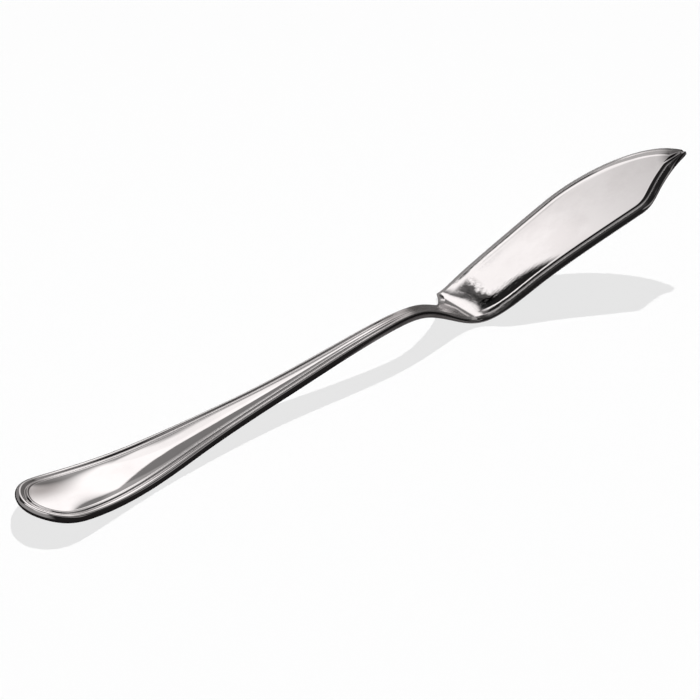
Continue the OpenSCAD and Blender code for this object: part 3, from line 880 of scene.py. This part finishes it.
def card_material(look):
    """Card that is black in front and grey behind, for the metal to mirror."""
    material, nodes = node_material("card")
    turn = look.card_turn
    x, y, _ = nodes.split(nodes.make("ShaderNodeTexCoord").outputs["Object"])
    behind = nodes.blend(nodes.ramp(x, -turn, 2 * turn), look.card_left, look.card_right)
    colour = nodes.blend(nodes.ramp(y, -turn, turn), look.card_near, behind)
    shader = nodes.make("ShaderNodeBsdfDiffuse")
    nodes.feed(shader.inputs["Color"], colour)
    nodes.finish("ShaderNodeOutputMaterial", shader)
    return material


def sheet(name, half, z, material):
    """A square flat sheet on the stage."""
    skin = bpy.data.meshes.new(name)
    corners = [(x * half, y * half, z) for x, y in ((-1, -1), (1, -1), (1, 1), (-1, 1))]
    skin.from_pydata(corners, [], [(0, 1, 2, 3)])
    skin.materials.append(material)
    piece = bpy.data.objects.new(name, skin)
    bpy.context.scene.collection.objects.link(piece)
    return piece


def lay_floor(look):
    """The pale floor, and the card on it that only the metal sees."""
    sheet("floor", look.floor_half, 0.0, floor_material(look.floor_colour))
    card = sheet("card", look.floor_half, look.card_lift, card_material(look))
    card.rotation_euler = (0, 0, look.camera_azimuth)
    card.visible_camera = False
    card.visible_diffuse = False
    card.visible_shadow = False
    card.visible_transmission = False


def light_world(scene, look):
    """The softboxes and walls, turned with the camera, which light no matt surface."""
    world = bpy.data.worlds.new("studio")
    world.use_nodes = True
    nodes = Nodes(world.node_tree)
    turn = nodes.make("ShaderNodeVectorRotate", rotation_type="Z_AXIS")
    nodes.feed(turn.inputs["Vector"], nodes.make("ShaderNodeTexCoord").outputs["Generated"])
    nodes.feed(turn.inputs["Angle"], 2 * math.pi - look.camera_azimuth)
    x, y, z = nodes.split(turn.outputs[0])
    azimuth = nodes.math("DEGREES", nodes.math("ARCTAN2", x, y))
    height = nodes.math("DEGREES", nodes.math("ARCSINE", z))
    light = look.ambient
    for softbox in SOFTBOXES:
        light = nodes.math("MAXIMUM", softbox.light(nodes, azimuth, height), light)
    background = nodes.make("ShaderNodeBackground")
    nodes.feed(background.inputs["Color"], (*look.world_tint, 1))
    nodes.feed(background.inputs["Strength"], light)
    nodes.finish("ShaderNodeOutputWorld", background)
    scene.world = world
    world.cycles_visibility.diffuse = False


def toward(azimuth, height):
    """Direction at an azimuth, clockwise from +y, and a height angle."""
    flat = math.cos(height)
    return Vector((math.sin(azimuth) * flat, math.cos(azimuth) * flat, math.sin(height)))


def hang_lamps(scene, look):
    """The sun that casts the shadow, and a wide lamp overhead. The metal mirrors neither."""
    sun = bpy.data.lights.new("sun", "SUN")
    sun.energy = look.sun_strength
    sun.angle = look.sun_spread
    lamp = bpy.data.objects.new("sun", sun)
    to_sun = toward(look.sun_azimuth - look.camera_azimuth, look.sun_height)
    lamp.rotation_euler = to_sun.to_track_quat("Z", "Y").to_euler()
    lamp.visible_glossy = False
    scene.collection.objects.link(lamp)

    wide = bpy.data.lights.new("fill", "AREA")
    wide.shape = "DISK"
    wide.size = look.fill_w
    wide.energy = look.fill_strength
    wide.use_shadow = False
    fill = bpy.data.objects.new("fill", wide)
    fill.location = (0, 0, look.fill_height)
    fill.visible_glossy = False
    fill.visible_camera = False
    scene.collection.objects.link(fill)


def set_camera(scene, look):
    """The camera at the photo's angle, looking at a point beside the middle of the server."""
    shift = placing(server_form().mesh()[0])
    target = Vector((look.look_along + shift[0], look.look_aside + shift[1], shift[2]))
    back = toward(math.pi - look.camera_azimuth, look.camera_height)
    eye = bpy.data.cameras.new("camera")
    eye.lens = look.lens
    eye.sensor_width = look.sensor_w
    camera = bpy.data.objects.new("camera", eye)
    camera.location = target + back * look.camera_distance
    camera.rotation_euler = (-back).to_track_quat("-Z", "Y").to_euler()
    scene.collection.objects.link(camera)
    scene.camera = camera


class FISHSERVER_OT_stage(bpy.types.Operator):
    """Lay the pale floor, hang the soft studio light and set the camera"""

    bl_idname = "fish_server.stage"
    bl_label = "Stage"

    def execute(self, context):
        scene = context.scene
        look = scene.fish_server_stage
        lay_floor(look)
        light_world(scene, look)
        hang_lamps(scene, look)
        set_camera(scene, look)
        scene.view_settings.view_transform = "Standard"
        return {"FINISHED"}


class FISHSERVER_PT_panel(bpy.types.Panel):
    """Sizes, finish and stage of the fish server"""

    bl_idname = "FISHSERVER_PT_panel"
    bl_label = "Fish server"
    bl_space_type = "VIEW_3D"
    bl_region_type = "UI"
    bl_category = "Fish server"

    def draw(self, context):
        for operator in (FISHSERVER_OT_server, FISHSERVER_OT_stage):
            self.layout.operator(operator.bl_idname)
        for name in ("fish_server_form", "fish_server_steel", "fish_server_stage"):
            group = getattr(context.scene, name)
            column = self.layout.column(heading=group.bl_rna.description)
            for key in group.bl_rna.properties.keys():
                if key not in ("rna_type", "name"):
                    column.prop(group, key)


CLASSES = (
    ServerForm,
    SteelLook,
    StageLook,
    FISHSERVER_OT_server,
    FISHSERVER_OT_stage,
    FISHSERVER_PT_panel,
)


def register():
    """Register the classes and hang their values on the scene."""
    for item in CLASSES:
        bpy.utils.register_class(item)
    bpy.types.Scene.fish_server_form = bpy.props.PointerProperty(type=ServerForm)
    bpy.types.Scene.fish_server_steel = bpy.props.PointerProperty(type=SteelLook)
    bpy.types.Scene.fish_server_stage = bpy.props.PointerProperty(type=StageLook)


def unregister():
    """Take the values and the classes away again."""
    del bpy.types.Scene.fish_server_stage
    del bpy.types.Scene.fish_server_steel
    del bpy.types.Scene.fish_server_form
    for item in reversed(CLASSES):
        bpy.utils.unregister_class(item)


def main():
    """Build the stage and the server."""
    register()
    bpy.ops.fish_server.stage()
    bpy.ops.fish_server.server()


if __name__ == "__main__":
    main()
